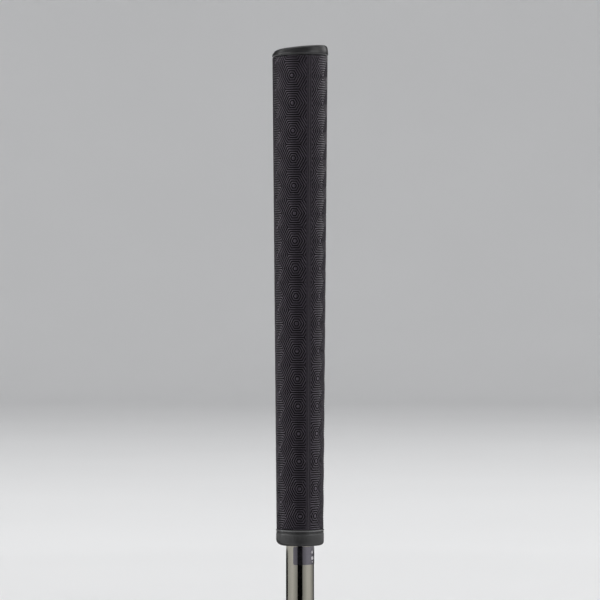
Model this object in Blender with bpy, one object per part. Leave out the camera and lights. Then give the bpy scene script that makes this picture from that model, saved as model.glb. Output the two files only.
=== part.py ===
"""An oversize golf putter grip, fitted on the butt end of its tubular steel shaft.

Each separate piece of the grip is one object: the butt cap, the skin with its felt
backing and seam strip, the foam underlisting, the mouth ring, the double-sided tape,
the shaft and the band round the shaft under the mouth.

Metres, +Z up. The origin is the centre of the shaft's sawn lower end, the shaft runs
up the Z axis, and the skin's seam faces -Y.
"""

import math

import bmesh
import bpy

MM = 0.001

# Shaft: a standard 0.590 in putter butt, shown with a short length below the grip.
SHAFT_RADIUS = 7.5 * MM
SHAFT_WALL = 0.6 * MM
EXPOSED_SHAFT = 40.0 * MM

# Grip body, heights above the mouth: a 10.5 in grip with a straight round taper.
RING_HEIGHT = 8.6 * MM
CAP_JOINT = 261.0 * MM
CAP_TOP = 266.3 * MM
MOUTH_RADIUS = 12.6 * MM
BUTT_RADIUS = 14.8 * MM

# Clearances: loose between moulded pieces, close between bonded layers.
GAP = 0.3 * MM
BOND = 0.2 * MM

# Sleeve layers, from the outside in.
SKIN_THICKNESS = 0.9 * MM
FELT_THICKNESS = 0.7 * MM
CORE_BORE = 8.05 * MM

# Seam strip.
SEAM_AZIMUTH = math.radians(-90)
SEAM_WIDTH = 1.2 * MM
SEAM_HEIGHT = 0.25 * MM
FELT_SLIT = 0.5 * MM

# Butt cap. Its top and its joint face both rise towards one side.
CAP_RADIUS = 15.1 * MM
CAP_CORNER = 2.0 * MM
CAP_EDGE_BREAK = 0.3 * MM
CAP_HIGH_SIDE = math.radians(-20)
CAP_TOP_SLOPE = math.tan(math.radians(5))
CAP_JOINT_SLOPE = math.tan(math.radians(1.5))
VENT_RADIUS = 1.0 * MM
SPIGOT_LENGTH = 6.0 * MM
SPIGOT_OUTER = 10.9 * MM
SPIGOT_INNER = 7.9 * MM

# Mouth ring: a cup that takes the nose of the underlisting.
RING_RADIUS = 12.8 * MM
RING_CORNER = 2.2 * MM
RING_BORE = 8.1 * MM
RING_FLOOR = 2.4 * MM
RING_CUP = 10.2 * MM
LIP_RADIUS = 0.4 * MM
LIP_GROOVE = 0.25 * MM

# Tape and label: thin wraps on the shaft.
WRAP_THICKNESS = 0.2 * MM
TAPE_CLEARANCE = 0.15 * MM
TAPE_SLIT = 1.0 * MM
TAPE_START = 7.0 * MM
LABEL_CLEARANCE = 0.1 * MM
LABEL_DROP = 0.5 * MM
LABEL_HEIGHT = 9.7 * MM
LABEL_START = math.radians(-138.6)
LABEL_SPAN = math.radians(250)

TURN_STEPS = 64
ARC_STEPS = 5
SHARP_ANGLE = math.radians(35)


def clear_scene():
    for obj in list(bpy.data.objects):
        bpy.data.objects.remove(obj, do_unlink=True)


def material(name, colour, roughness, metallic=0.0):
    mat = bpy.data.materials.new(name)
    mat.use_nodes = True
    shader = mat.node_tree.nodes["Principled BSDF"]
    shader.inputs["Base Color"].default_value = (*colour, 1.0)
    shader.inputs["Roughness"].default_value = roughness
    shader.inputs["Metallic"].default_value = metallic
    return mat


def empty(name, height, parent=None):
    obj = bpy.data.objects.new(name, None)
    bpy.context.scene.collection.objects.link(obj)
    obj.location.z = height
    obj.parent = parent
    return obj


def finish(name, bm, mat, parent):
    """Turns a bmesh into a smooth-shaded object with its faces pointing out."""
    bmesh.ops.recalc_face_normals(bm, faces=bm.faces)
    mesh = bpy.data.meshes.new(name)
    bm.to_mesh(mesh)
    bm.free()
    mesh.shade_smooth()
    mesh.set_sharp_from_angle(angle=SHARP_ANGLE)
    mesh.materials.append(mat)
    obj = bpy.data.objects.new(name, mesh)
    bpy.context.scene.collection.objects.link(obj)
    obj.parent = parent
    return obj


def arc(centre_radius, centre_height, radius, start, end):
    """Points on a quarter or half round in the profile plane, angles in degrees from outward."""
    points = []
    for i in range(ARC_STEPS + 1):
        angle = math.radians(start + (end - start) * i / ARC_STEPS)
        across = centre_radius + radius * math.cos(angle)
        up = centre_height + radius * math.sin(angle)
        points.append((across, up))
    return points


def turned(profile):
    """A closed (radius, height) profile turned once round the Z axis."""
    bm = bmesh.new()
    verts = [bm.verts.new((radius, 0, height)) for radius, height in profile]
    edges = [bm.edges.new((a, b)) for a, b in zip(verts, verts[1:] + verts[:1])]
    bmesh.ops.spin(
        bm,
        geom=verts + edges,
        cent=(0, 0, 0),
        axis=(0, 0, 1),
        angle=math.tau,
        steps=TURN_STEPS,
        use_merge=True,
    )
    return bm


def wrapped(profile, start, span):
    """A closed (radius, height) profile swept part of the way round, with flat end faces."""
    bm = bmesh.new()
    along = math.cos(start), math.sin(start)
    verts = [bm.verts.new((r * along[0], r * along[1], h)) for r, h in profile]
    face = bm.faces.new(verts)
    bmesh.ops.spin(
        bm,
        geom=[face, *face.edges, *face.verts],
        cent=(0, 0, 0),
        axis=(0, 0, 1),
        angle=span,
        steps=max(1, round(TURN_STEPS * span / math.tau)),
    )
    return bm


def slit_wrap(profile, azimuth, slit_angle):
    """A wrap that closes on itself but for a narrow slit at an azimuth."""
    return wrapped(profile, azimuth + slit_angle / 2, math.tau - slit_angle)


def rise(point):
    """How far a point lies towards the cap's high side."""
    return point.x * math.cos(CAP_HIGH_SIDE) + point.y * math.sin(CAP_HIGH_SIDE)


def tilt_joint(bm):
    """Trims the top end of a sleeve to the slope of the cap's joint."""
    for vert in bm.verts:
        if vert.co.z > CAP_JOINT - MM:
            vert.co.z += CAP_JOINT_SLOPE * rise(vert.co)


def skin_radius(height):
    """The grip's outer radius at a height above the mouth."""
    share = (height - RING_HEIGHT) / (CAP_JOINT - RING_HEIGHT)
    return MOUTH_RADIUS + (BUTT_RADIUS - MOUTH_RADIUS) * share


def layer(depth, thickness):
    """The profile of a tapered layer whose outside lies this deep under the skin's outside."""
    low = RING_HEIGHT + GAP
    high = CAP_JOINT
    return [
        (skin_radius(low) - depth, low),
        (skin_radius(high) - depth, high),
        (skin_radius(high) - depth - thickness, high),
        (skin_radius(low) - depth - thickness, low),
    ]


def make_butt_cap(parent):
    underside = CAP_JOINT + GAP
    foot = underside - SPIGOT_LENGTH
    profile = [
        (VENT_RADIUS, underside),
        (SPIGOT_INNER, underside),
        (SPIGOT_INNER, foot),
        (SPIGOT_OUTER, foot),
        (SPIGOT_OUTER, underside),
        (CAP_RADIUS - CAP_EDGE_BREAK, underside),
        (CAP_RADIUS, underside + CAP_EDGE_BREAK),
        *arc(CAP_RADIUS - CAP_CORNER, CAP_TOP - CAP_CORNER, CAP_CORNER, 0, 90),
        (VENT_RADIUS, CAP_TOP),
    ]
    bm = turned(profile)
    for vert in bm.verts:
        if vert.co.z < underside - GAP:
            continue  # the spigot's foot stays square to the axis
        share = (vert.co.z - underside) / (CAP_TOP - underside)
        slope = CAP_JOINT_SLOPE + (CAP_TOP_SLOPE - CAP_JOINT_SLOPE) * share
        vert.co.z += slope * rise(vert.co)
    rubber = material("cap_rubber", (0.030, 0.030, 0.031), 0.55)
    return finish("butt_cap", bm, rubber, parent)


def make_grip_skin(parent):
    slit_angle = (SEAM_WIDTH + 2 * GAP) / MOUTH_RADIUS
    bm = slit_wrap(layer(0, SKIN_THICKNESS), SEAM_AZIMUTH, slit_angle)
    tilt_joint(bm)
    polyurethane = material("skin_polyurethane", (0.024, 0.022, 0.026), 0.50)
    return finish("grip_skin", bm, polyurethane, parent)


def make_seam_strip(parent):
    """A round-topped bead that fills the skin's slit and follows its taper."""
    low = RING_HEIGHT + GAP
    bm = bmesh.new()
    half = SEAM_WIDTH / 2
    surface = skin_radius(low)
    points = [(half, surface - SKIN_THICKNESS)]
    for i in range(ARC_STEPS + 1):
        angle = math.pi * i / ARC_STEPS
        points.append((half * math.cos(angle), surface + SEAM_HEIGHT * math.sin(angle)))
    points.append((-half, surface - SKIN_THICKNESS))
    face = bm.faces.new([bm.verts.new((across, -out, low)) for across, out in points])
    swept = bmesh.ops.extrude_face_region(bm, geom=[face])["geom"]
    for vert in swept:
        if isinstance(vert, bmesh.types.BMVert):
            vert.co.z = CAP_JOINT
            vert.co.y -= BUTT_RADIUS - surface
    tilt_joint(bm)
    sealant = material("seam_polyurethane", (0.034, 0.032, 0.036), 0.42)
    return finish("seam_strip", bm, sealant, parent)


def make_skin_backing(parent):
    profile = layer(SKIN_THICKNESS + BOND, FELT_THICKNESS)
    bm = slit_wrap(profile, SEAM_AZIMUTH, FELT_SLIT / MOUTH_RADIUS)
    tilt_joint(bm)
    felt = material("felt", (0.42, 0.41, 0.39), 0.95)
    return finish("skin_backing", bm, felt, parent)


def make_underlisting(parent):
    depth = SKIN_THICKNESS + FELT_THICKNESS + 2 * BOND
    shoulder = RING_HEIGHT + GAP
    nose_end = RING_FLOOR + GAP
    nose_radius = RING_CUP - GAP
    pocket_radius = SPIGOT_OUTER + GAP
    pocket_floor = CAP_JOINT - SPIGOT_LENGTH
    profile = [
        (CORE_BORE, nose_end),
        (nose_radius, nose_end),
        (nose_radius, shoulder),
        (skin_radius(shoulder) - depth, shoulder),
        (BUTT_RADIUS - depth, CAP_JOINT),
        (pocket_radius, CAP_JOINT),
        (pocket_radius, pocket_floor),
        (CORE_BORE, pocket_floor),
    ]
    bm = turned(profile)
    tilt_joint(bm)
    foam = material("foam_rubber", (0.055, 0.055, 0.058), 0.90)
    return finish("underlisting", bm, foam, parent)


def make_mouth_ring(parent):
    lip_height = RING_HEIGHT - LIP_RADIUS
    lip_centre = RING_RADIUS - LIP_RADIUS
    groove_height = lip_height - LIP_RADIUS
    profile = [
        (RING_BORE, 0),
        *arc(RING_RADIUS - RING_CORNER, RING_CORNER, RING_CORNER, -90, 0),
        (RING_RADIUS, groove_height - LIP_RADIUS),
        (RING_RADIUS - LIP_GROOVE, groove_height),
        *arc(lip_centre, lip_height, LIP_RADIUS, -30, 90),
        (RING_CUP, RING_HEIGHT),
        (RING_CUP, RING_FLOOR),
        (RING_BORE, RING_FLOOR),
    ]
    rubber = material("ring_rubber", (0.032, 0.032, 0.033), 0.50)
    return finish("mouth_ring", turned(profile), rubber, parent)


def tube(inner, outer, low, high):
    return [(inner, low), (outer, low), (outer, high), (inner, high)]


def make_grip_tape(parent):
    inner = SHAFT_RADIUS + TAPE_CLEARANCE
    outer = inner + WRAP_THICKNESS
    profile = tube(inner, outer, TAPE_START, CAP_JOINT - SPIGOT_LENGTH)
    bm = slit_wrap(profile, -SEAM_AZIMUTH, TAPE_SLIT / SHAFT_RADIUS)
    paper = material("tape_paper", (0.62, 0.55, 0.40), 0.80)
    return finish("grip_tape", bm, paper, parent)


def make_shaft(parent):
    butt = EXPOSED_SHAFT + CAP_JOINT - BOND
    profile = tube(SHAFT_RADIUS - SHAFT_WALL, SHAFT_RADIUS, 0, butt)
    chrome = material("chrome_steel", (0.60, 0.58, 0.54), 0.12, 1.0)
    return finish("shaft", turned(profile), chrome, parent)


def make_shaft_label(parent):
    inner = SHAFT_RADIUS + LABEL_CLEARANCE
    outer = inner + WRAP_THICKNESS
    top = EXPOSED_SHAFT - LABEL_DROP
    profile = tube(inner, outer, top - LABEL_HEIGHT, top)
    bm = wrapped(profile, LABEL_START, LABEL_SPAN)
    vinyl = material("label_vinyl", (0.125, 0.120, 0.135), 0.45)
    return finish("shaft_label", bm, vinyl, parent)


def main():
    clear_scene()
    club = empty("putter_butt", 0)
    mouth = empty("grip_mouth", EXPOSED_SHAFT, club)
    make_shaft(club)
    make_shaft_label(club)
    make_grip_tape(mouth)
    make_underlisting(mouth)
    make_skin_backing(mouth)
    make_grip_skin(mouth)
    make_seam_strip(mouth)
    make_mouth_ring(mouth)
    make_butt_cap(mouth)


main()
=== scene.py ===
"""Looks for the golf putter grip: the embossed skin, seam, cap, mouth ring, chrome shaft and label."""

import math

import bmesh
import bpy
import numpy as np
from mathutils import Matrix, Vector, noise


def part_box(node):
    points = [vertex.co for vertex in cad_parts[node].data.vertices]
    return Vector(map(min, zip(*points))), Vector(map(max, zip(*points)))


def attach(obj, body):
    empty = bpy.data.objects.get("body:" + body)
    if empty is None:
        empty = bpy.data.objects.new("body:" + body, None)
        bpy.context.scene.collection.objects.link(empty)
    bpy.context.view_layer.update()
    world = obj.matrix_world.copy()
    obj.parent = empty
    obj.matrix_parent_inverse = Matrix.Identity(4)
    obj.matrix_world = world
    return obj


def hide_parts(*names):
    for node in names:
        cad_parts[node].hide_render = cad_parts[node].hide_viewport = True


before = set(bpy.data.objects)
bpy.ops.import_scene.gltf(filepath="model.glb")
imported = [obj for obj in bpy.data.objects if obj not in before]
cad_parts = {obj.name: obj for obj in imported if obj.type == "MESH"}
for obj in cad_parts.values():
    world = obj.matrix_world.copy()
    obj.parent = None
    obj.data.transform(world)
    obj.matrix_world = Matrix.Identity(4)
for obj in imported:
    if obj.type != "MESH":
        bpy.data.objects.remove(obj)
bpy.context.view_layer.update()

MM = 0.001

# The photograph's viewpoint: level, 20 degrees to the left of the seam.
VIEW_AZIMUTH = math.radians(-20)
VIEW_DISTANCE = 1.5
VIEW_HEIGHT = 171.1 * MM
FIELD_OF_VIEW = 321.4 * MM
SENSOR = 36.0

# Honeycomb embossed in the skin: flat-topped hexagons, each filled with nested ridges.
HEX_PITCH = 14.64 * MM
HEX_SPACING = 12.25 * MM
HEX_RIDGES = 6
HEX_COLUMNS = 4
HEX_TOP_CENTRE = 290.3 * MM
RELIEF = 0.42 * MM
STEPS_PER_RIDGE = 4
EDGE_STEP = 1.25 * MM
# Vertices nearer to each other than this count as one, and those nearer to a plane as on it.
WELD = 0.001 * MM

# The wrapped sheet: its edges beside the seam are plain, with a crease where the ridges start.
WRAP_STRETCH_LOW = 0.963
SKIN_THICKNESS = 0.9 * MM
TRIM_SPARE = 1 * MM
SEAM_HALF_ANGLE = 0.036
EDGE_MARGIN = 0.9 * MM
EDGE_BLEND = 0.35 * MM
EDGE_CREASE = 0.1 * MM
EDGE_LEVEL = 0.79
BACK_AZIMUTH = math.radians(90)

# The bead over the seam; its root lies under the skin's outside, and its size varies a little.
SEAM_ROWS = 220
SEAM_STEPS = 12
SEAM_HALF_WIDTH = 0.42 * MM
SEAM_ROOT = 0.85 * MM
SEAM_PROUD = 0.12 * MM
SEAM_WANDER = 0.05 * MM
PROUD_CHANGE = 0.04 * MM
WIDTH_CHANGE = 0.08

ROUND_STEPS = 160
CAP_HIGH_SIDE = math.radians(-20)
CAP_JOINT_SLOPE = math.tan(math.radians(1.5))
CAP_TOP_SLOPE = math.tan(math.radians(5))
CAP_CLEARANCE = 0.3 * MM
CAP_THICKNESS = 4.75 * MM
CAP_SEAT = 12.5 * MM
CAP_CROWN = 0.06 * MM
ROLL_ACROSS, ROLL_UP = 0.6 * MM, 1.0 * MM
SPIGOT_INNER, SPIGOT_OUTER = 7.9 * MM, 10.9 * MM
SPIGOT_LEVEL = 3.0 * MM
VENT_RADIUS = 1.15 * MM
VENT_RIM = 0.4 * MM

RING_BORE = 8.1 * MM
RING_FACE = 9.2 * MM
RING_CUP = 10.2 * MM
RING_SHOULDER = 11.5 * MM
RING_FLOOR = 2.4 * MM
RING_STEP = 2.4 * MM
BORE_EDGE = 0.25 * MM
LIP_BEAD = 0.55 * MM
LIP_PROUD = 0.12 * MM

SHAFT_WALL = 0.6 * MM
SHAFT_EDGE = 0.12 * MM
SHAFT_STEPS = 8

# The label and the marks printed on it: radii over the shaft's own, and where each mark lies.
LABEL_START = math.radians(-138.6)
LABEL_SPAN = math.radians(250)
LABEL_INNER, LABEL_OUTER = 0.03 * MM, 0.13 * MM
LABEL_CORNER = 0.8 * MM
LABEL_STEPS = 110
MARK_INNER, MARK_OUTER = 0.135 * MM, 0.15 * MM
MARK_CORNER = 0.3 * MM
MARK_STEPS = 8
# Azimuth in degrees, then the middle's drop below the mouth, the width and the height in millimetres.
MARKS = ((-52, 3.6, 1.2, 1.5), (-50, 6.8, 2.0, 1.7), (-50, 8.8, 1.2, 0.5))

# The studio, in metres: the height that lights and cards aim at, how wide the lights throw, the steps
# in curved cards and in the room, and the two shades that cards go between.
MIDDLE = 0.17
BOX_SPREAD = math.radians(120)
CARD_STEPS = 48
ROOM_STEPS = 96
CARD_LIFT = 1 * MM
BLACK = (0.003, 0.003, 0.003)
PAPER = (0.80, 0.80, 0.80)


# ---------------------------------------------------------------- frame readings


def outer_radius(node, height, within=1.5 * MM):
    """The largest radius among a CAD node's vertices near a height."""
    points = np.array([v.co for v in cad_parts[node].data.vertices])
    near = points[np.abs(points[:, 2] - height) < within]
    return float(np.hypot(near[:, 0], near[:, 1]).max())


SKIN_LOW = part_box("grip_skin")[0].z
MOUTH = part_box("mouth_ring")[0].z
RING_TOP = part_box("mouth_ring")[1].z
RING_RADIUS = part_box("mouth_ring")[1].x
CAP_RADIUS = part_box("butt_cap")[1].x
CAP_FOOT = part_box("butt_cap")[0].z
SHAFT_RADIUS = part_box("shaft")[1].x
SHAFT_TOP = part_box("shaft")[1].z
LABEL_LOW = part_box("shaft_label")[0].z
LABEL_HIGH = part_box("shaft_label")[1].z
# The joint under the cap slopes. Its height on the axis is the mean of two points on it, less their lift.
JOINT_LIFT = 0.26 * MM
JOINT = (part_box("grip_skin")[1].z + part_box("seam_strip")[1].z) / 2 - JOINT_LIFT
RADIUS_LOW = outer_radius("grip_skin", SKIN_LOW)
RADIUS_HIGH = outer_radius("grip_skin", JOINT)


def skin_radius(height):
    """The skin's outer radius over its crests."""
    share = (height - SKIN_LOW) / (JOINT - SKIN_LOW)
    return RADIUS_LOW + (RADIUS_HIGH - RADIUS_LOW) * share


def rise(x, y):
    """How far a point lies towards the cap's high side."""
    return x * math.cos(CAP_HIGH_SIDE) + y * math.sin(CAP_HIGH_SIDE)


# ---------------------------------------------------------------- mesh helpers


def piece(name, mesh, mat, slot, *replaced, sharp=40):
    """Makes an object of a mesh, gives it its material and rides it on the one body. Edges that turn
    by more than sharp degrees stay sharp; with 0, none does."""
    mesh.materials.append(mat)
    mesh.shade_smooth()
    if sharp:
        mesh.set_sharp_from_angle(angle=math.radians(sharp))
    obj = bpy.data.objects.new(name, mesh)
    bpy.context.scene.collection.objects.link(obj)
    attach(obj, "root")
    if replaced:
        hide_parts(*replaced)


def mesh_of(bm, name):
    """A mesh of a bmesh with its faces turned outward."""
    bmesh.ops.recalc_face_normals(bm, faces=bm.faces)
    mesh = bpy.data.meshes.new(name)
    bm.to_mesh(mesh)
    bm.free()
    return mesh


def lathe(name, section):
    """A closed ring of quads from section(angle), a closed list of (x, y, z, and a value for edge wear and
    painted highlight) at each angle. The last value becomes a point attribute that smooths the surface and
    lightens its colour.
    """
    columns = [section(math.tau * i / ROUND_STEPS) for i in range(ROUND_STEPS)]
    count = len(columns[0])
    verts = [p[:3] for column in columns for p in column]
    faces = []
    for i in range(ROUND_STEPS):
        here, there = i * count, (i + 1) % ROUND_STEPS * count
        for j in range(count):
            k = (j + 1) % count
            faces.append((here + j, there + j, there + k, here + k))
    mesh = bpy.data.meshes.new(name)
    mesh.from_pydata(verts, [], faces)
    wear_and_highlight = mesh.attributes.new("wear_and_highlight", "FLOAT", "POINT")
    wear_and_highlight.data.foreach_set("value", [p[3] for column in columns for p in column])
    bm = bmesh.new()
    bm.from_mesh(mesh)
    bpy.data.meshes.remove(mesh)
    return mesh_of(bm, name)


def turned(outline, angle):
    """An outline of (radius, height, edge wear and painted highlight) turned to one angle, as (x, y, z,
    edge wear and painted highlight).
    """
    return [(r * math.cos(angle), r * math.sin(angle), z, wear_and_highlight) for r, z, wear_and_highlight in outline]


def curve_points(centre, radii, start, end, steps):
    """Points on an elliptical arc, angles in degrees from outward."""
    made = []
    for i in range(steps + 1):
        angle = math.radians(start + (end - start) * i / steps)
        point = centre[0] + radii[0] * math.cos(angle), centre[1] + radii[1] * math.sin(angle)
        made.append(point)
    return made


def zip_rows(first, second, where_first, where_second, same=1e-9):
    """Triangles and quads that join two rows of vertices, matched by where each vertex lies."""
    faces, i, j = [], 0, 0
    while i < len(first) - 1 or j < len(second) - 1:
        if i == len(first) - 1:
            step = "second"
        elif j == len(second) - 1:
            step = "first"
        else:
            a, b = where_first[i + 1], where_second[j + 1]
            step = "both" if abs(a - b) < same else "first" if a < b else "second"
        if step == "both":
            faces.append((first[i], first[i + 1], second[j + 1], second[j]))
            i, j = i + 1, j + 1
        elif step == "first":
            faces.append((first[i], first[i + 1], second[j]))
            i += 1
        else:
            faces.append((first[i], second[j + 1], second[j]))
            j += 1
    return faces


# ---------------------------------------------------------------- embossed skin


def relief_at(share):
    """Ridge height from 0 to 1, at a share of one ridge's pitch from the hexagon's border."""
    return abs(math.sin(math.pi * share)) ** 0.85


def hexagon_cell():
    """One hexagon filled with nested rings: its flat points with their relief, and its faces."""
    rings = HEX_RIDGES * STEPS_PER_RIDGE
    side = HEX_PITCH / math.sqrt(3)
    squeeze = HEX_SPACING / (1.5 * side)
    turns = [math.radians(60 * j) for j in range(6)]
    corners = [(side * math.cos(turn) * squeeze, side * math.sin(turn)) for turn in turns]
    points, heights = [(0.0, 0.0)], [1.0]
    rows = [[[0] for _ in range(6)]]
    places = [[[0.0] for _ in range(6)]]
    for ring in range(1, rings + 1):
        share = ring / rings
        cuts = max(1, round(share * side / EDGE_STEP))
        height = 1.0 if ring <= STEPS_PER_RIDGE // 2 else relief_at((rings - ring) / STEPS_PER_RIDGE)
        start = len(points)
        for j in range(6):
            a, b = corners[j], corners[(j + 1) % 6]
            for k in range(cuts):
                t = k / cuts
                x, y = a[0] + (b[0] - a[0]) * t, a[1] + (b[1] - a[1]) * t
                points.append((share * x, share * y))
                heights.append(height)
        total = 6 * cuts
        rows.append([[start + (j * cuts + k) % total for k in range(cuts + 1)] for j in range(6)])
        places.append([[k / cuts for k in range(cuts + 1)] for _ in range(6)])
    faces = []
    for ring in range(rings):
        for j in range(6):
            faces += zip_rows(rows[ring][j], rows[ring + 1][j], places[ring][j], places[ring + 1][j])
    return np.array(points), np.array(heights), faces


def hexagon_sheet():
    """The flat honeycomb as a bmesh: x along the wrap, y up the grip, z the relief from 0 to 1."""
    cell, heights, cell_faces = hexagon_cell()
    points, relief, faces = [], [], []
    top = math.ceil((JOINT + HEX_PITCH - HEX_TOP_CENTRE) / HEX_PITCH)
    bottom = math.floor((SKIN_LOW - HEX_PITCH - HEX_TOP_CENTRE) / HEX_PITCH)
    for column in range(-HEX_COLUMNS, HEX_COLUMNS + 1):
        shift = 0.0 if column % 2 else -HEX_PITCH / 2
        for row in range(bottom, top + 1):
            start = sum(len(p) for p in points)
            points.append(cell + (column * HEX_SPACING, HEX_TOP_CENTRE + shift + row * HEX_PITCH))
            relief.append(heights)
            faces += [tuple(start + i for i in face) for face in cell_faces]
    points, relief = np.concatenate(points), np.concatenate(relief)
    keys = np.round(points / WELD).astype(np.int64)
    _, first, index = np.unique(keys, axis=0, return_index=True, return_inverse=True)
    index = index.reshape(-1)
    kept = np.column_stack([points[first], relief[first]])
    mesh = bpy.data.meshes.new("sheet")
    mesh.from_pydata(kept.tolist(), [], [tuple(int(index[i]) for i in face) for face in faces])
    bm = bmesh.new()
    bm.from_mesh(mesh)
    bpy.data.meshes.remove(mesh)
    return bm


def cut(bm, point, outward, clear=True):
    """Cuts along a plane, and clears away what lies past it."""
    geom = [*bm.verts, *bm.edges, *bm.faces]
    bmesh.ops.bisect_plane(bm, geom=geom, dist=1e-7, plane_co=point, plane_no=outward, clear_outer=clear)


def turn_per_metre(height):
    """Angle that a length of the flat sheet covers; the sheet is stretched more at the thick end."""
    share = (height - SKIN_LOW) / (JOINT - SKIN_LOW)
    return (WRAP_STRETCH_LOW + (1 - WRAP_STRETCH_LOW) * share) / skin_radius(height)


def half_wrap(height):
    """The distance from the back line to the skin's edge, along the flat sheet."""
    return (math.pi - SEAM_HALF_ANGLE) / turn_per_metre(height)


def close_skin(bm, along, tilt):
    """Gives the one-sided wrapped sheet an inside face and edges, so that it is a closed sheet."""
    edge_verts = {v for e in bm.edges if e.is_boundary for v in e.verts}

    def row_at(level):
        """The edge vertices at a height that depends on where they are, in order round the grip."""
        row = [v for v in edge_verts if abs(v.co.z - level(v.co)) < WELD]
        return sorted(row, key=lambda v: v[along])

    low, high = row_at(lambda co: SKIN_LOW), row_at(tilt)
    ends = set(low) | set(high)
    sides = [v for v in edge_verts if v not in ends]

    def inside(v):
        radius = skin_radius(v.co.z) - SKIN_THICKNESS
        flat = math.hypot(v.co.x, v.co.y)
        made = bm.verts.new((v.co.x * radius / flat, v.co.y * radius / flat, v.co.z))
        made[along] = v[along]
        return made

    inner_low, inner_high = [inside(v) for v in low], [inside(v) for v in high]
    for outer, inner in ((low, inner_low), (high, inner_high)):
        for i in range(len(outer) - 1):
            bm.faces.new((outer[i], outer[i + 1], inner[i + 1], inner[i]))

    def share_along(row):
        return [(v[along] - row[0][along]) / (row[-1][along] - row[0][along]) for v in row]

    for face in zip_rows(inner_low, inner_high, share_along(inner_low), share_along(inner_high)):
        bm.faces.new(face)
    for index, sign in ((0, -1), (-1, 1)):
        wall = sorted((v for v in sides if v[along] * sign > 0), key=lambda v: v.co.z)
        bm.faces.new([low[index], *wall, high[index], inner_high[index], inner_low[index]])


def make_skin():
    """The honeycomb sheet cut to the wrap's outline, with plain edges, wrapped, and trimmed at the cap."""
    bm = hexagon_sheet()
    cut(bm, (0, SKIN_LOW, 0), (0, -1, 0))
    cut(bm, (0, JOINT + TRIM_SPARE, 0), (0, 1, 0))
    for sign in (-1, 1):
        low = Vector((sign * half_wrap(SKIN_LOW), SKIN_LOW, 0))
        high = Vector((sign * half_wrap(JOINT), JOINT, 0))
        up = (high - low).normalized()
        outward = Vector((sign * up.y, -sign * up.x, 0))
        cut(bm, low, outward)
        for inset in (EDGE_MARGIN - EDGE_CREASE, EDGE_MARGIN, EDGE_MARGIN + EDGE_BLEND):
            cut(bm, low - outward * inset, outward, clear=False)
    along = bm.verts.layers.float.new("along")
    relief = bm.verts.layers.float.new("relief")
    for v in bm.verts:
        s, height, crest = v.co
        v[along] = s / half_wrap(height)
        plain = (half_wrap(height) - abs(s) - EDGE_MARGIN) / EDGE_BLEND
        crest = EDGE_LEVEL + (crest - EDGE_LEVEL) * min(max(plain, 0.0), 1.0)
        v[relief] = crest
        angle = BACK_AZIMUTH + s * turn_per_metre(height)
        radius = skin_radius(height) - RELIEF * (1 - crest)
        v.co = radius * math.cos(angle), radius * math.sin(angle), height
    across = -CAP_JOINT_SLOPE * math.cos(CAP_HIGH_SIDE), -CAP_JOINT_SLOPE * math.sin(CAP_HIGH_SIDE)
    cut(bm, Vector((0, 0, JOINT)), Vector((*across, 1)))
    close_skin(bm, along, lambda co: JOINT + CAP_JOINT_SLOPE * rise(co.x, co.y))
    mesh = mesh_of(bm, "embossed_skin")
    piece("embossed_skin", mesh, skin_material(), "skin_polyurethane", "grip_skin", sharp=0)


# ---------------------------------------------------------------- seam


def bead_outline(height):
    """The bead's closed cross-section at one height, as (x, distance from the axis)."""
    radius = skin_radius(height)
    wander = SEAM_WANDER * noise.noise(Vector((height * 90, 0, 0)))
    proud = SEAM_PROUD + PROUD_CHANGE * noise.noise(Vector((0, height * 140, 3)))
    width = SEAM_HALF_WIDTH * (1 + WIDTH_CHANGE * noise.noise(Vector((7, height * 120, 0))))
    outline = [(width, radius - SEAM_ROOT)]
    for j in range(SEAM_STEPS + 1):
        angle = math.pi * j / SEAM_STEPS
        out = radius - RELIEF / 2 + (proud + RELIEF / 2) * math.sin(angle) ** 0.7
        outline.append((width * math.cos(angle), out))
    outline.append((-width, radius - SEAM_ROOT))
    return [(x + wander, out) for x, out in outline]


def make_seam():
    """A soft raised bead along the seam, a little uneven where the sealant was laid."""
    bm = bmesh.new()
    loops = []
    for i in range(SEAM_ROWS + 1):
        share = i / SEAM_ROWS
        height = SKIN_LOW + (JOINT - SKIN_LOW) * share
        # Only the top end follows the sloping joint, so the lift grows with a high power.
        lift = CAP_JOINT_SLOPE * rise(0, -skin_radius(height)) * share**20
        loops.append([bm.verts.new((x, -out, height + lift)) for x, out in bead_outline(height)])
    for below, above in zip(loops, loops[1:]):
        for j in range(len(below)):
            k = (j + 1) % len(below)
            bm.faces.new((below[j], below[k], above[k], above[j]))
    bm.faces.new(loops[0])
    bm.faces.new(loops[-1])
    mesh = mesh_of(bm, "seam_bead")
    piece("seam_bead", mesh, seam_material(), "seam_polyurethane", "seam_strip", sharp=60)


# ---------------------------------------------------------------- cap and ring


def low_side(angle):
    """From 0 on the cap's high side to 1 on its low side."""
    return 0.5 - 0.5 * math.cos(angle - CAP_HIGH_SIDE)


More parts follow.
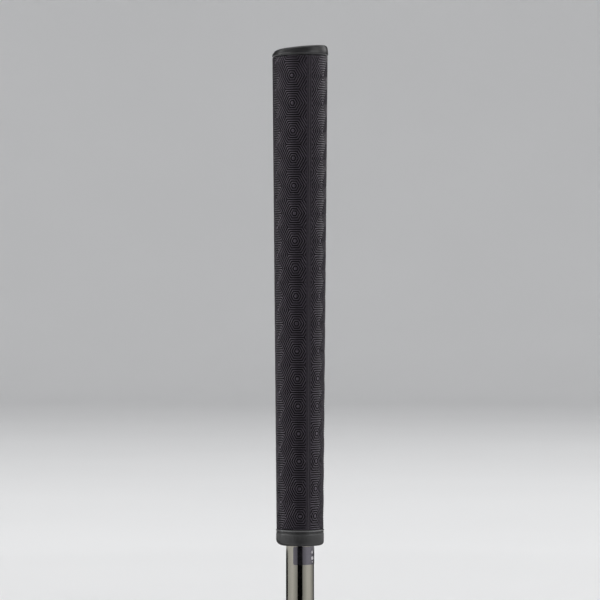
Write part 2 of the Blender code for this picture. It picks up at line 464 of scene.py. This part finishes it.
def cap_outline(low):
    """The cap's closed outline before it is tilted: spigot, rolled edge, leaning side, crowned top. The
    side leans more and the corner is rounder on the low side. The third value is edge wear for the
    roughness and painted light for the colour: the rolled edge and the lower side are lightened, so the
    cap grows lighter towards its bottom, and the top corner has a lighter band."""
    under = JOINT + CAP_CLEARANCE
    top = under + CAP_THICKNESS
    belly = CAP_RADIUS - (0.05 + 0.15 * low) * MM
    lean = (0.30 + 0.65 * low) * MM
    across, down = (1.5 + 1.8 * low) * MM, (1.5 + 0.2 * low) * MM
    start, shoulder = under + ROLL_UP, top - down
    inner = belly - lean - across
    outline = [(VENT_RADIUS, under, 0), (SPIGOT_INNER, under, 0), (SPIGOT_INNER, CAP_FOOT, 0)]
    outline += [(SPIGOT_OUTER, CAP_FOOT, 0), (SPIGOT_OUTER, under, 0), (CAP_SEAT, under, 0)]
    # Painted light: the rolled edge and the lower side are lightened, so the cap grows lighter towards its
    # bottom.
    rolled = curve_points((belly - ROLL_ACROSS, start), (ROLL_ACROSS, ROLL_UP), -90, 0, 8)
    outline += [(r, z, 0.5 + 0.5 * i / 8) for i, (r, z) in enumerate(rolled)]
    for t in [i / 7 for i in range(1, 7)]:
        outline.append((belly - lean * t * t, start + (shoulder - start) * t, max(0, 1 - 2.2 * t)))
    rounded = curve_points((inner, shoulder), (across, down), 0, 90, 14)
    outline += [(r, z, 0.6 * math.sin(math.pi * i / 14) ** 4) for i, (r, z) in enumerate(rounded)]
    outline += [(inner * t, top + CAP_CROWN * (1 - t * t), 0) for t in (0.75, 0.5, 0.3, 0.2)]
    rim = (VENT_RADIUS + VENT_RIM, top + CAP_CROWN - VENT_RIM)
    outline += [(r, z, 0) for r, z in curve_points(rim, (-VENT_RIM, VENT_RIM), 90, 0, 4)]
    return outline


def cap_section(angle):
    """The cap's outline at one angle. All but the spigot's foot is tilted, the top more than the joint."""
    made = []
    for x, y, height, wear_and_highlight in turned(cap_outline(low_side(angle)), angle):
        if height > CAP_FOOT + SPIGOT_LEVEL:
            share = (height - JOINT - CAP_CLEARANCE) / CAP_THICKNESS
            height += (CAP_JOINT_SLOPE + (CAP_TOP_SLOPE - CAP_JOINT_SLOPE) * share) * rise(x, y)
        made.append((x, y, height, wear_and_highlight))
    return made


def make_cap():
    mesh = lathe("moulded_cap", cap_section)
    piece("moulded_cap", mesh, cap_material(), "cap_rubber", "butt_cap", sharp=50)


def ring_section(angle):
    """The ring's closed outline: cup, floor, rounded lower corner, step, groove and lip bead. The step's
    edge and the lip bead are lightened; on the bead this is a painted highlight, along with edge wear.
    """
    corner = (2.0 + 1.2 * low_side(angle)) * MM
    centre = RING_TOP - LIP_BEAD
    groove = centre - LIP_BEAD
    step = RING_TOP - RING_STEP
    outline = [(RING_BORE, MOUTH + BORE_EDGE, 0), (RING_BORE + BORE_EDGE, MOUTH, 0), (RING_FACE, MOUTH, 0)]
    rounded = curve_points((RING_RADIUS - corner, MOUTH + corner), (corner, corner), -90, 0, 12)
    outline += [(r, z, 0) for r, z in rounded]
    outline += [
        (RING_RADIUS, MOUTH + 4.0 * MM, 0),
        (RING_RADIUS, step - 0.20 * MM, 0.2),
        (RING_RADIUS - 0.02 * MM, step - 0.07 * MM, 0.5),
        (RING_RADIUS - 0.10 * MM, step + 0.05 * MM, 0.3),
        (RING_RADIUS - 0.12 * MM, step + 0.20 * MM, 0),
        (RING_RADIUS - 0.14 * MM, groove - 0.34 * MM, 0),
        (RING_RADIUS - 0.45 * MM, groove - 0.26 * MM, 0),
        (RING_RADIUS - 0.50 * MM, groove + 0.04 * MM, 0),
    ]
    middle = (RING_RADIUS + LIP_PROUD - LIP_BEAD, centre)
    # Painted highlight: the lip bead's upper part is lightened where light catches it; edge wear also
    # smooths it.
    beaded = curve_points(middle, (LIP_BEAD, LIP_BEAD), -60, 90, 12)
    outline += [(r, z, min(1, i / 3)) for i, (r, z) in enumerate(beaded)]
    outline += [(RING_SHOULDER, RING_TOP, 0), (RING_CUP, RING_TOP, 0)]
    outline += [(RING_CUP, MOUTH + RING_FLOOR, 0), (RING_BORE, MOUTH + RING_FLOOR, 0)]
    return turned(outline, angle)


def make_ring():
    mesh = lathe("moulded_ring", ring_section)
    piece("moulded_ring", mesh, ring_material(), "ring_rubber", "mouth_ring", sharp=50)


# ---------------------------------------------------------------- shaft and label


def shaft_section(angle):
    """The tube's closed outline, with its outer edges and its lower inner edge deburred."""
    inner = SHAFT_RADIUS - SHAFT_WALL
    outline = [(inner, SHAFT_EDGE), (inner + SHAFT_EDGE, 0)]
    outline += [(SHAFT_RADIUS - SHAFT_EDGE, 0), (SHAFT_RADIUS, SHAFT_EDGE)]
    outline += [(SHAFT_RADIUS, SHAFT_TOP * i / SHAFT_STEPS) for i in range(1, SHAFT_STEPS)]
    outline += [(SHAFT_RADIUS, SHAFT_TOP - SHAFT_EDGE), (SHAFT_RADIUS - SHAFT_EDGE, SHAFT_TOP)]
    outline += [(inner, SHAFT_TOP)]
    return turned([(r, z, 0) for r, z in outline], angle)


def make_shaft():
    mesh = lathe("shaft_tube", shaft_section)
    piece("shaft_tube", mesh, chrome_material(), "chrome_steel", "shaft")


def curved_patch(bm, start, span, heights, radii, corner, steps):
    """A closed curved plate round the axis, with its corners rounded off."""
    low, high = heights
    inner, outer = radii
    columns = []
    for i in range(steps + 1):
        share = i / steps
        angle = start + span * share
        reach = min(share, 1 - share) * span * outer
        trim = corner - math.sqrt(max(corner**2 - (corner - reach) ** 2, 0)) if reach < corner else 0.0
        ring = [(inner, low + trim), (outer, low + trim), (outer, high - trim), (inner, high - trim)]
        columns.append([bm.verts.new((r * math.cos(angle), r * math.sin(angle), z)) for r, z in ring])
    for a, b in zip(columns, columns[1:]):
        for j in range(4):
            k = (j + 1) % 4
            bm.faces.new((a[j], a[k], b[k], b[j]))
    bm.faces.new(columns[0])
    bm.faces.new(columns[-1])


def make_label():
    bm = bmesh.new()
    radii = SHAFT_RADIUS + LABEL_INNER, SHAFT_RADIUS + LABEL_OUTER
    curved_patch(bm, LABEL_START, LABEL_SPAN, (LABEL_LOW, LABEL_HIGH), radii, LABEL_CORNER, LABEL_STEPS)
    piece("label_band", mesh_of(bm, "label_band"), label_material(), "label_vinyl", "shaft_label")


def make_marks():
    """Three plain rounded marks on the label."""
    bm = bmesh.new()
    radii = SHAFT_RADIUS + MARK_INNER, SHAFT_RADIUS + MARK_OUTER
    for azimuth, drop, width, tall in MARKS:
        span = width * MM / radii[1]
        start = math.radians(azimuth) - span / 2
        heights = MOUTH - (drop + tall / 2) * MM, MOUTH - (drop - tall / 2) * MM
        curved_patch(bm, start, span, heights, radii, MARK_CORNER, MARK_STEPS)
    piece("label_marks", mesh_of(bm, "label_marks"), mark_material(), "label_vinyl")


# ---------------------------------------------------------------- materials


# A Mix node's colour sockets, by place, because its sockets for other kinds of value share their names.
MIX_A, MIX_B, MIX_RESULT = 6, 7, 2


def four(colour):
    """A colour with its alpha; a socket is passed on as it is."""
    return colour if isinstance(colour, bpy.types.NodeSocket) else (*colour, 1.0)


class Nodes:
    """Short calls for one material's node tree."""

    def __init__(self, name):
        self.mat = bpy.data.materials.new(name)
        self.mat.use_nodes = True
        self.tree = self.mat.node_tree
        self.shader = self.tree.nodes["Principled BSDF"]
        self.place = self.add("ShaderNodeTexCoord").outputs["Object"]

    def add(self, kind, **settings):
        node = self.tree.nodes.new(kind)
        for key, value in settings.items():
            setattr(node, key, value)
        return node

    def feed(self, socket, value):
        """Links a socket, or sets its value."""
        if isinstance(value, bpy.types.NodeSocket):
            self.tree.links.new(value, socket)
        else:
            socket.default_value = value

    def math(self, operation, a, b):
        node = self.add("ShaderNodeMath", operation=operation)
        self.feed(node.inputs[0], a)
        self.feed(node.inputs[1], b)
        return node.outputs[0]

    def noise(self, scale, detail=3.0, rough=0.5, stretch=(1, 1, 1)):
        mapping = self.add("ShaderNodeMapping")
        mapping.inputs["Scale"].default_value = stretch
        self.feed(mapping.inputs["Vector"], self.place)
        node = self.add("ShaderNodeTexNoise")
        self.feed(node.inputs["Vector"], mapping.outputs[0])
        node.inputs["Scale"].default_value = scale
        node.inputs["Detail"].default_value = detail
        node.inputs["Roughness"].default_value = rough
        return node.outputs["Fac"]

    def cells(self, scale):
        node = self.add("ShaderNodeTexVoronoi", feature="F1")
        self.feed(node.inputs["Vector"], self.place)
        node.inputs["Scale"].default_value = scale
        return node.outputs["Distance"]

    def attribute(self, name):
        return self.add("ShaderNodeAttribute", attribute_name=name).outputs["Fac"]

    def ramp(self, value, low, high, at=(0.3, 0.7)):
        """A value from low to high as another goes between two places."""
        node = self.add("ShaderNodeMapRange")
        self.feed(node.inputs["Value"], value)
        node.inputs["From Min"].default_value, node.inputs["From Max"].default_value = at
        node.inputs["To Min"].default_value, node.inputs["To Max"].default_value = low, high
        return node.outputs[0]

    def mix(self, share, a, b):
        """A colour from a to b by a share."""
        node = self.add("ShaderNodeMix", data_type="RGBA", blend_type="MIX")
        self.feed(node.inputs["Factor"], share)
        self.feed(node.inputs[MIX_A], four(a))
        self.feed(node.inputs[MIX_B], four(b))
        return node.outputs[MIX_RESULT]

    def bump(self, height, distance, strength=1.0, under=None):
        node = self.add("ShaderNodeBump")
        node.inputs["Strength"].default_value = strength
        node.inputs["Distance"].default_value = distance
        self.feed(node.inputs["Height"], height)
        if under is not None:
            self.feed(node.inputs["Normal"], under)
        return node.outputs["Normal"]

    def finish(self, colour, roughness, normal=None, metallic=0.0, specular=0.5):
        self.feed(self.shader.inputs["Base Color"], four(colour))
        self.feed(self.shader.inputs["Roughness"], roughness)
        self.shader.inputs["Metallic"].default_value = metallic
        self.shader.inputs["Specular IOR Level"].default_value = specular
        if normal is not None:
            self.feed(self.shader.inputs["Normal"], normal)
        return self.mat


def skin_material():
    """Tacky polyurethane: crests polished by hands, so smoother, random soiled patches and a fine
    leather-like grain. The valleys carry painted shade: their colour is near black and their reflection is
    nearly switched off.
    """
    n = Nodes("skin_polyurethane")
    crest = n.attribute("relief")
    painted_relief_shade = n.math("POWER", crest, 3.0)
    painted_gloss_shade = n.math("POWER", crest, 5.0)
    patches = n.noise(45, 4, 0.6)
    # Painted shade: near black in the valleys and lighter on the crests, standing in for the shadow
    # between the ridges; the patches mix in real soiling.
    clean_with_relief_shade = n.mix(painted_relief_shade, (0.0026, 0.0023, 0.0029), (0.0413, 0.0360, 0.0455))
    soiled_with_relief_shade = n.mix(painted_relief_shade, (0.0015, 0.0013, 0.0017), (0.0284, 0.0248, 0.0312))
    base = n.mix(n.ramp(patches, 0.0, 0.25), clean_with_relief_shade, soiled_with_relief_shade)
    # Painted shade in the reflection: the valleys' specular tint is almost 0, so they hardly reflect.
    n.feed(n.shader.inputs["Specular Tint"], n.mix(painted_gloss_shade, (0.01, 0.01, 0.01), (0.97, 0.865, 1.0)))
    rough = n.math("ADD", n.ramp(crest, 0.75, 0.27, (0.0, 1.0)), n.ramp(patches, -0.03, 0.03))
    grain = n.bump(n.noise(5200, 2, 0.6), 0.02 * MM, 0.9)
    return n.finish(base, rough, grain, specular=1.0)


def seam_material():
    """The same polyurethane laid smooth."""
    n = Nodes("seam_polyurethane")
    base = n.mix(n.noise(300, 3), (0.018, 0.0162, 0.0194), (0.029, 0.026, 0.0312))
    n.shader.inputs["Specular Tint"].default_value = (0.97, 0.88, 1.0, 1.0)
    rough = n.ramp(n.noise(700, 2), 0.42, 0.54)
    return n.finish(base, rough, n.bump(n.noise(3000, 2), 0.01 * MM, 0.6))


def rubber(name, dark, light, low, high, wear_and_highlight_gain, specular):
    """Moulded rubber: a fine spark-eroded texture, faint flow marks, and edges polished by handling, so
    smoother.
    Where the wear value is high the colour is lightened too: a painted highlight on the ring's lip and
    painted light on the cap's lower part. Its colour goes from dark to light and its roughness from low to
    high with the flow marks."""
    n = Nodes(name)
    wear_and_highlight = n.attribute("wear_and_highlight")
    flow = n.noise(60, 4, 0.55, (1, 1, 6))
    scuffs = n.ramp(n.noise(420, 5, 0.7, (1, 1, 3)), 0.0, 0.5, (0.58, 0.75))
    base = n.mix(flow, dark, light)
    base = n.mix(scuffs, base, tuple(1.7 * c for c in light))
    # Painted highlight: the colour is lightened by the gain where the wear value is high; the roughness
    # below drops there for the real wear.
    base = n.mix(wear_and_highlight, base, tuple(wear_and_highlight_gain * c for c in light))
    rough = n.math("ADD", n.ramp(flow, low, high), n.ramp(wear_and_highlight, 0.0, -0.10, (0, 1)))
    fine = n.bump(n.noise(4200, 3, 0.6), 0.012 * MM, 0.7)
    return n.finish(base, rough, n.bump(flow, 0.03 * MM, 0.4, fine), specular=specular)


def cap_material():
    dark, light = (0.011, 0.011, 0.0115), (0.019, 0.019, 0.0195)
    return rubber("cap_rubber", dark, light, 0.29, 0.38, wear_and_highlight_gain=2.2, specular=0.28)


def ring_material():
    dark, light = (0.022, 0.022, 0.0225), (0.032, 0.032, 0.0325)
    return rubber("ring_rubber", dark, light, 0.35, 0.45, wear_and_highlight_gain=2.8, specular=0.55)


def chrome_material():
    """Chrome plate over drawn steel tube: bright, with faint lengthwise draw lines and handling haze."""
    n = Nodes("chrome_steel")
    lines = n.noise(900, 3, 0.6, (1, 1, 0.01))
    haze = n.noise(70, 4, 0.6)
    base = n.mix(haze, (0.370, 0.352, 0.300), (0.428, 0.410, 0.354))
    rough = n.math("ADD", n.ramp(haze, 0.06, 0.13), n.ramp(lines, 0.0, 0.03))
    return n.finish(base, rough, n.bump(lines, 0.002 * MM, 0.3), metallic=1.0)


def label_material():
    """Thin metallised film, smoky violet, a little cloudy."""
    n = Nodes("label_film")
    cloud = n.noise(500, 4, 0.6)
    base = n.mix(cloud, (0.142, 0.134, 0.154), (0.186, 0.178, 0.200))
    rough = n.ramp(cloud, 0.08, 0.15)
    return n.finish(base, rough, n.bump(n.noise(1500, 2), 0.002 * MM, 0.5), metallic=0.95)


def mark_material():
    """Pale ink, a little uneven."""
    n = Nodes("label_ink")
    base = n.mix(n.noise(2500, 2), (0.42, 0.41, 0.43), (0.56, 0.55, 0.57))
    return n.finish(base, n.ramp(n.noise(1800, 2), 0.35, 0.5))


def felt_material():
    """Pale felt with its fibres mostly lengthwise."""
    n = Nodes("felt_fibres")
    fibres = n.noise(2600, 5, 0.75, (1, 1, 0.35))
    base = n.mix(fibres, (0.30, 0.29, 0.27), (0.52, 0.51, 0.48))
    return n.finish(base, n.ramp(fibres, 0.85, 0.98), n.bump(fibres, 0.08 * MM, 0.9))


def foam_material():
    """Dark foam rubber with fine closed cells."""
    n = Nodes("foam_cells")
    cells = n.cells(2800)
    base = n.mix(n.ramp(cells, 0.0, 1.0, (0.1, 0.7)), (0.030, 0.030, 0.032), (0.070, 0.070, 0.074))
    return n.finish(base, n.ramp(cells, 0.95, 0.80, (0, 0.8)), n.bump(cells, 0.06 * MM, 0.8))


def tape_material():
    """Paper tape creped across its length."""
    n = Nodes("crepe_tape")
    crepe = n.noise(1400, 3, 0.6, (1, 1, 7))
    base = n.mix(crepe, (0.52, 0.45, 0.31), (0.66, 0.59, 0.44))
    return n.finish(base, n.ramp(crepe, 0.70, 0.88), n.bump(crepe, 0.04 * MM, 0.8))


def dress_inner_nodes():
    """Better materials on the CAD pieces that stay: the felt, the foam and the tape."""
    for node, mat in (
        ("skin_backing", felt_material()),
        ("underlisting", foam_material()),
        ("grip_tape", tape_material()),
    ):
        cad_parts[node].data.materials.clear()
        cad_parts[node].data.materials.append(mat)


# ---------------------------------------------------------------- studio


def toward(azimuth, distance, height):
    """A point at an azimuth from the object: 0 is the -Y side, positive turns to its right."""
    return Vector((math.sin(azimuth) * distance, -math.cos(azimuth) * distance, height))


def make_camera():
    """A level camera that looks straight at the axis from the photograph's side."""
    camera = bpy.data.objects.new("camera", bpy.data.cameras.new("camera"))
    bpy.context.scene.collection.objects.link(camera)
    camera.data.sensor_width = SENSOR
    camera.data.lens = SENSOR * VIEW_DISTANCE / FIELD_OF_VIEW
    camera.location = toward(VIEW_AZIMUTH, VIEW_DISTANCE, VIEW_HEIGHT)
    camera.rotation_euler = (math.radians(90), 0, VIEW_AZIMUTH)
    camera.data.clip_end = 100
    bpy.context.scene.camera = camera


def make_room():
    """A pale round sweep: floor, cove and wall in one turned surface."""
    floor, cove, wall = 3.2, 1.2, 4.0
    profile = [(0.0, 0.0), (0.5, 0.0), (1.5, 0.0)]
    profile += curve_points((floor, cove), (cove, cove), -90, 0, 16)
    profile += [(floor + cove, wall)]
    bm = bmesh.new()
    verts = [bm.verts.new((r, 0, z)) for r, z in profile]
    edges = [bm.edges.new(pair) for pair in zip(verts, verts[1:])]
    turn = {"cent": (0, 0, 0), "axis": (0, 0, 1), "angle": math.tau, "steps": ROOM_STEPS}
    bmesh.ops.spin(bm, geom=verts + edges, use_merge=True, **turn)
    bmesh.ops.remove_doubles(bm, verts=bm.verts, dist=1e-5)
    mesh = bpy.data.meshes.new("room")
    bm.to_mesh(mesh)
    bm.free()
    mesh.shade_smooth()
    n = Nodes("pale_paper")
    n.finish(n.mix(n.noise(3, 2), PAPER, (0.84, 0.84, 0.84)), 0.9)
    mesh.materials.append(n.mat)
    room = bpy.data.objects.new("room", mesh)
    bpy.context.scene.collection.objects.link(room)


def soft_light(name, azimuth, distance, height, size, power):
    """A soft box at an azimuth in degrees from the camera, aimed at the object's middle."""
    light = bpy.data.lights.new(name, "AREA")
    light.shape = "RECTANGLE"
    light.size, light.size_y = size
    light.energy = power
    light.spread = BOX_SPREAD
    obj = bpy.data.objects.new(name, light)
    bpy.context.scene.collection.objects.link(obj)
    obj.location = toward(VIEW_AZIMUTH + math.radians(azimuth), distance, height)
    obj.rotation_euler = (Vector((0, 0, MIDDLE)) - obj.location).to_track_quat("-Z", "Y").to_euler()
    obj.visible_camera = False


def black_card(name, left, right, distance, tall):
    """A curved black card that only reflections see, between two azimuths from the camera."""
    bm = bmesh.new()
    rows = []
    for i in range(CARD_STEPS + 1):
        azimuth = VIEW_AZIMUTH + math.radians(left + (right - left) * i / CARD_STEPS)
        rows.append([bm.verts.new(toward(azimuth, distance, z)) for z in (MIDDLE - tall, MIDDLE + tall)])
    for a, b in zip(rows, rows[1:]):
        bm.faces.new((a[0], b[0], b[1], a[1]))
    hide_card(name, bm)


def black_sector(name, left, right, reach, fade=(0, 0), edge=0.0):
    """A flat card on the floor that only reflections see, black between two azimuths. Over the fade
    beside each end its shade goes from edge, a share of the floor's own, to all of it."""
    bm = bmesh.new()
    shade = bm.verts.layers.float.new("shade")
    start, end = left - fade[0], right + fade[1]
    inner = SHAFT_RADIUS + 0.5 * MM
    rows = []
    for i in range(CARD_STEPS + 1):
        azimuth = start + (end - start) * i / CARD_STEPS
        share = 0.0
        if azimuth < left:
            share = edge + (1 - edge) * (left - azimuth) / fade[0]
        elif azimuth > right:
            share = edge + (1 - edge) * (azimuth - right) / fade[1]
        turn = VIEW_AZIMUTH + math.radians(azimuth)
        row = [bm.verts.new(toward(turn, r, CARD_LIFT)) for r in (inner, reach)]
        for v in row:
            v[shade] = share
        rows.append(row)
    for a, b in zip(rows, rows[1:]):
        bm.faces.new((a[0], b[0], b[1], a[1]))
    hide_card(name, bm)


def hide_card(name, bm):
    """Makes a card of a bmesh: black where its shade is 0 or unset, like the floor where it is 1."""
    mesh = bpy.data.meshes.new(name)
    bm.to_mesh(mesh)
    bm.free()
    n = Nodes(name)
    n.finish(n.mix(n.attribute("shade"), BLACK, PAPER), 1.0, specular=0.0)
    mesh.materials.append(n.mat)
    card = bpy.data.objects.new(name, mesh)
    bpy.context.scene.collection.objects.link(card)
    card.visible_camera = False
    card.visible_diffuse = False
    card.visible_shadow = False


def make_light():
    """A pale sky, soft boxes, and black cards that give the chrome its dark stripe and rims."""
    scene = bpy.context.scene
    scene.view_settings.view_transform = "Standard"
    world = bpy.data.worlds.new("world")
    world.use_nodes = True
    sky = world.node_tree.nodes["Background"]
    sky.inputs["Color"].default_value = (0.97, 0.98, 1.0, 1.0)
    sky.inputs["Strength"].default_value = 0.62
    scene.world = world
    soft_light("left_box", -66, 2.6, 1.25, (2.6, 1.1), 10)
    soft_light("left_edge", -98, 2.4, 0.9, (0.5, 1.4), 3.5)
    soft_light("right_box", 66, 2.6, 1.25, (2.4, 1.1), 11.5)
    soft_light("right_rim", 122, 2.6, 1.25, (1.7, 1.1), 7)
    soft_light("left_rim", -118, 2.4, 2.1, (1.4, 1.0), 2)
    soft_light("top_box", 180, 0.4, 3.2, (2.6, 2.6), 8)
    black_card("card_front", -25, 21, 2.0, 2.2)
    black_card("card_round", -180, 180, 3.6, 2.4)
    black_sector("card_floor", -22, 20, 2.0, fade=(36, 36), edge=0.5)
    black_sector("card_floor_left", -178, -117, 0.42, fade=(0, 45), edge=0.75)
    black_sector("card_floor_right", 150, 178, 0.42, fade=(60, 0))


make_camera()
make_room()
make_light()
make_skin()
make_seam()
make_cap()
make_ring()
make_shaft()
make_label()
make_marks()
dress_inner_nodes()
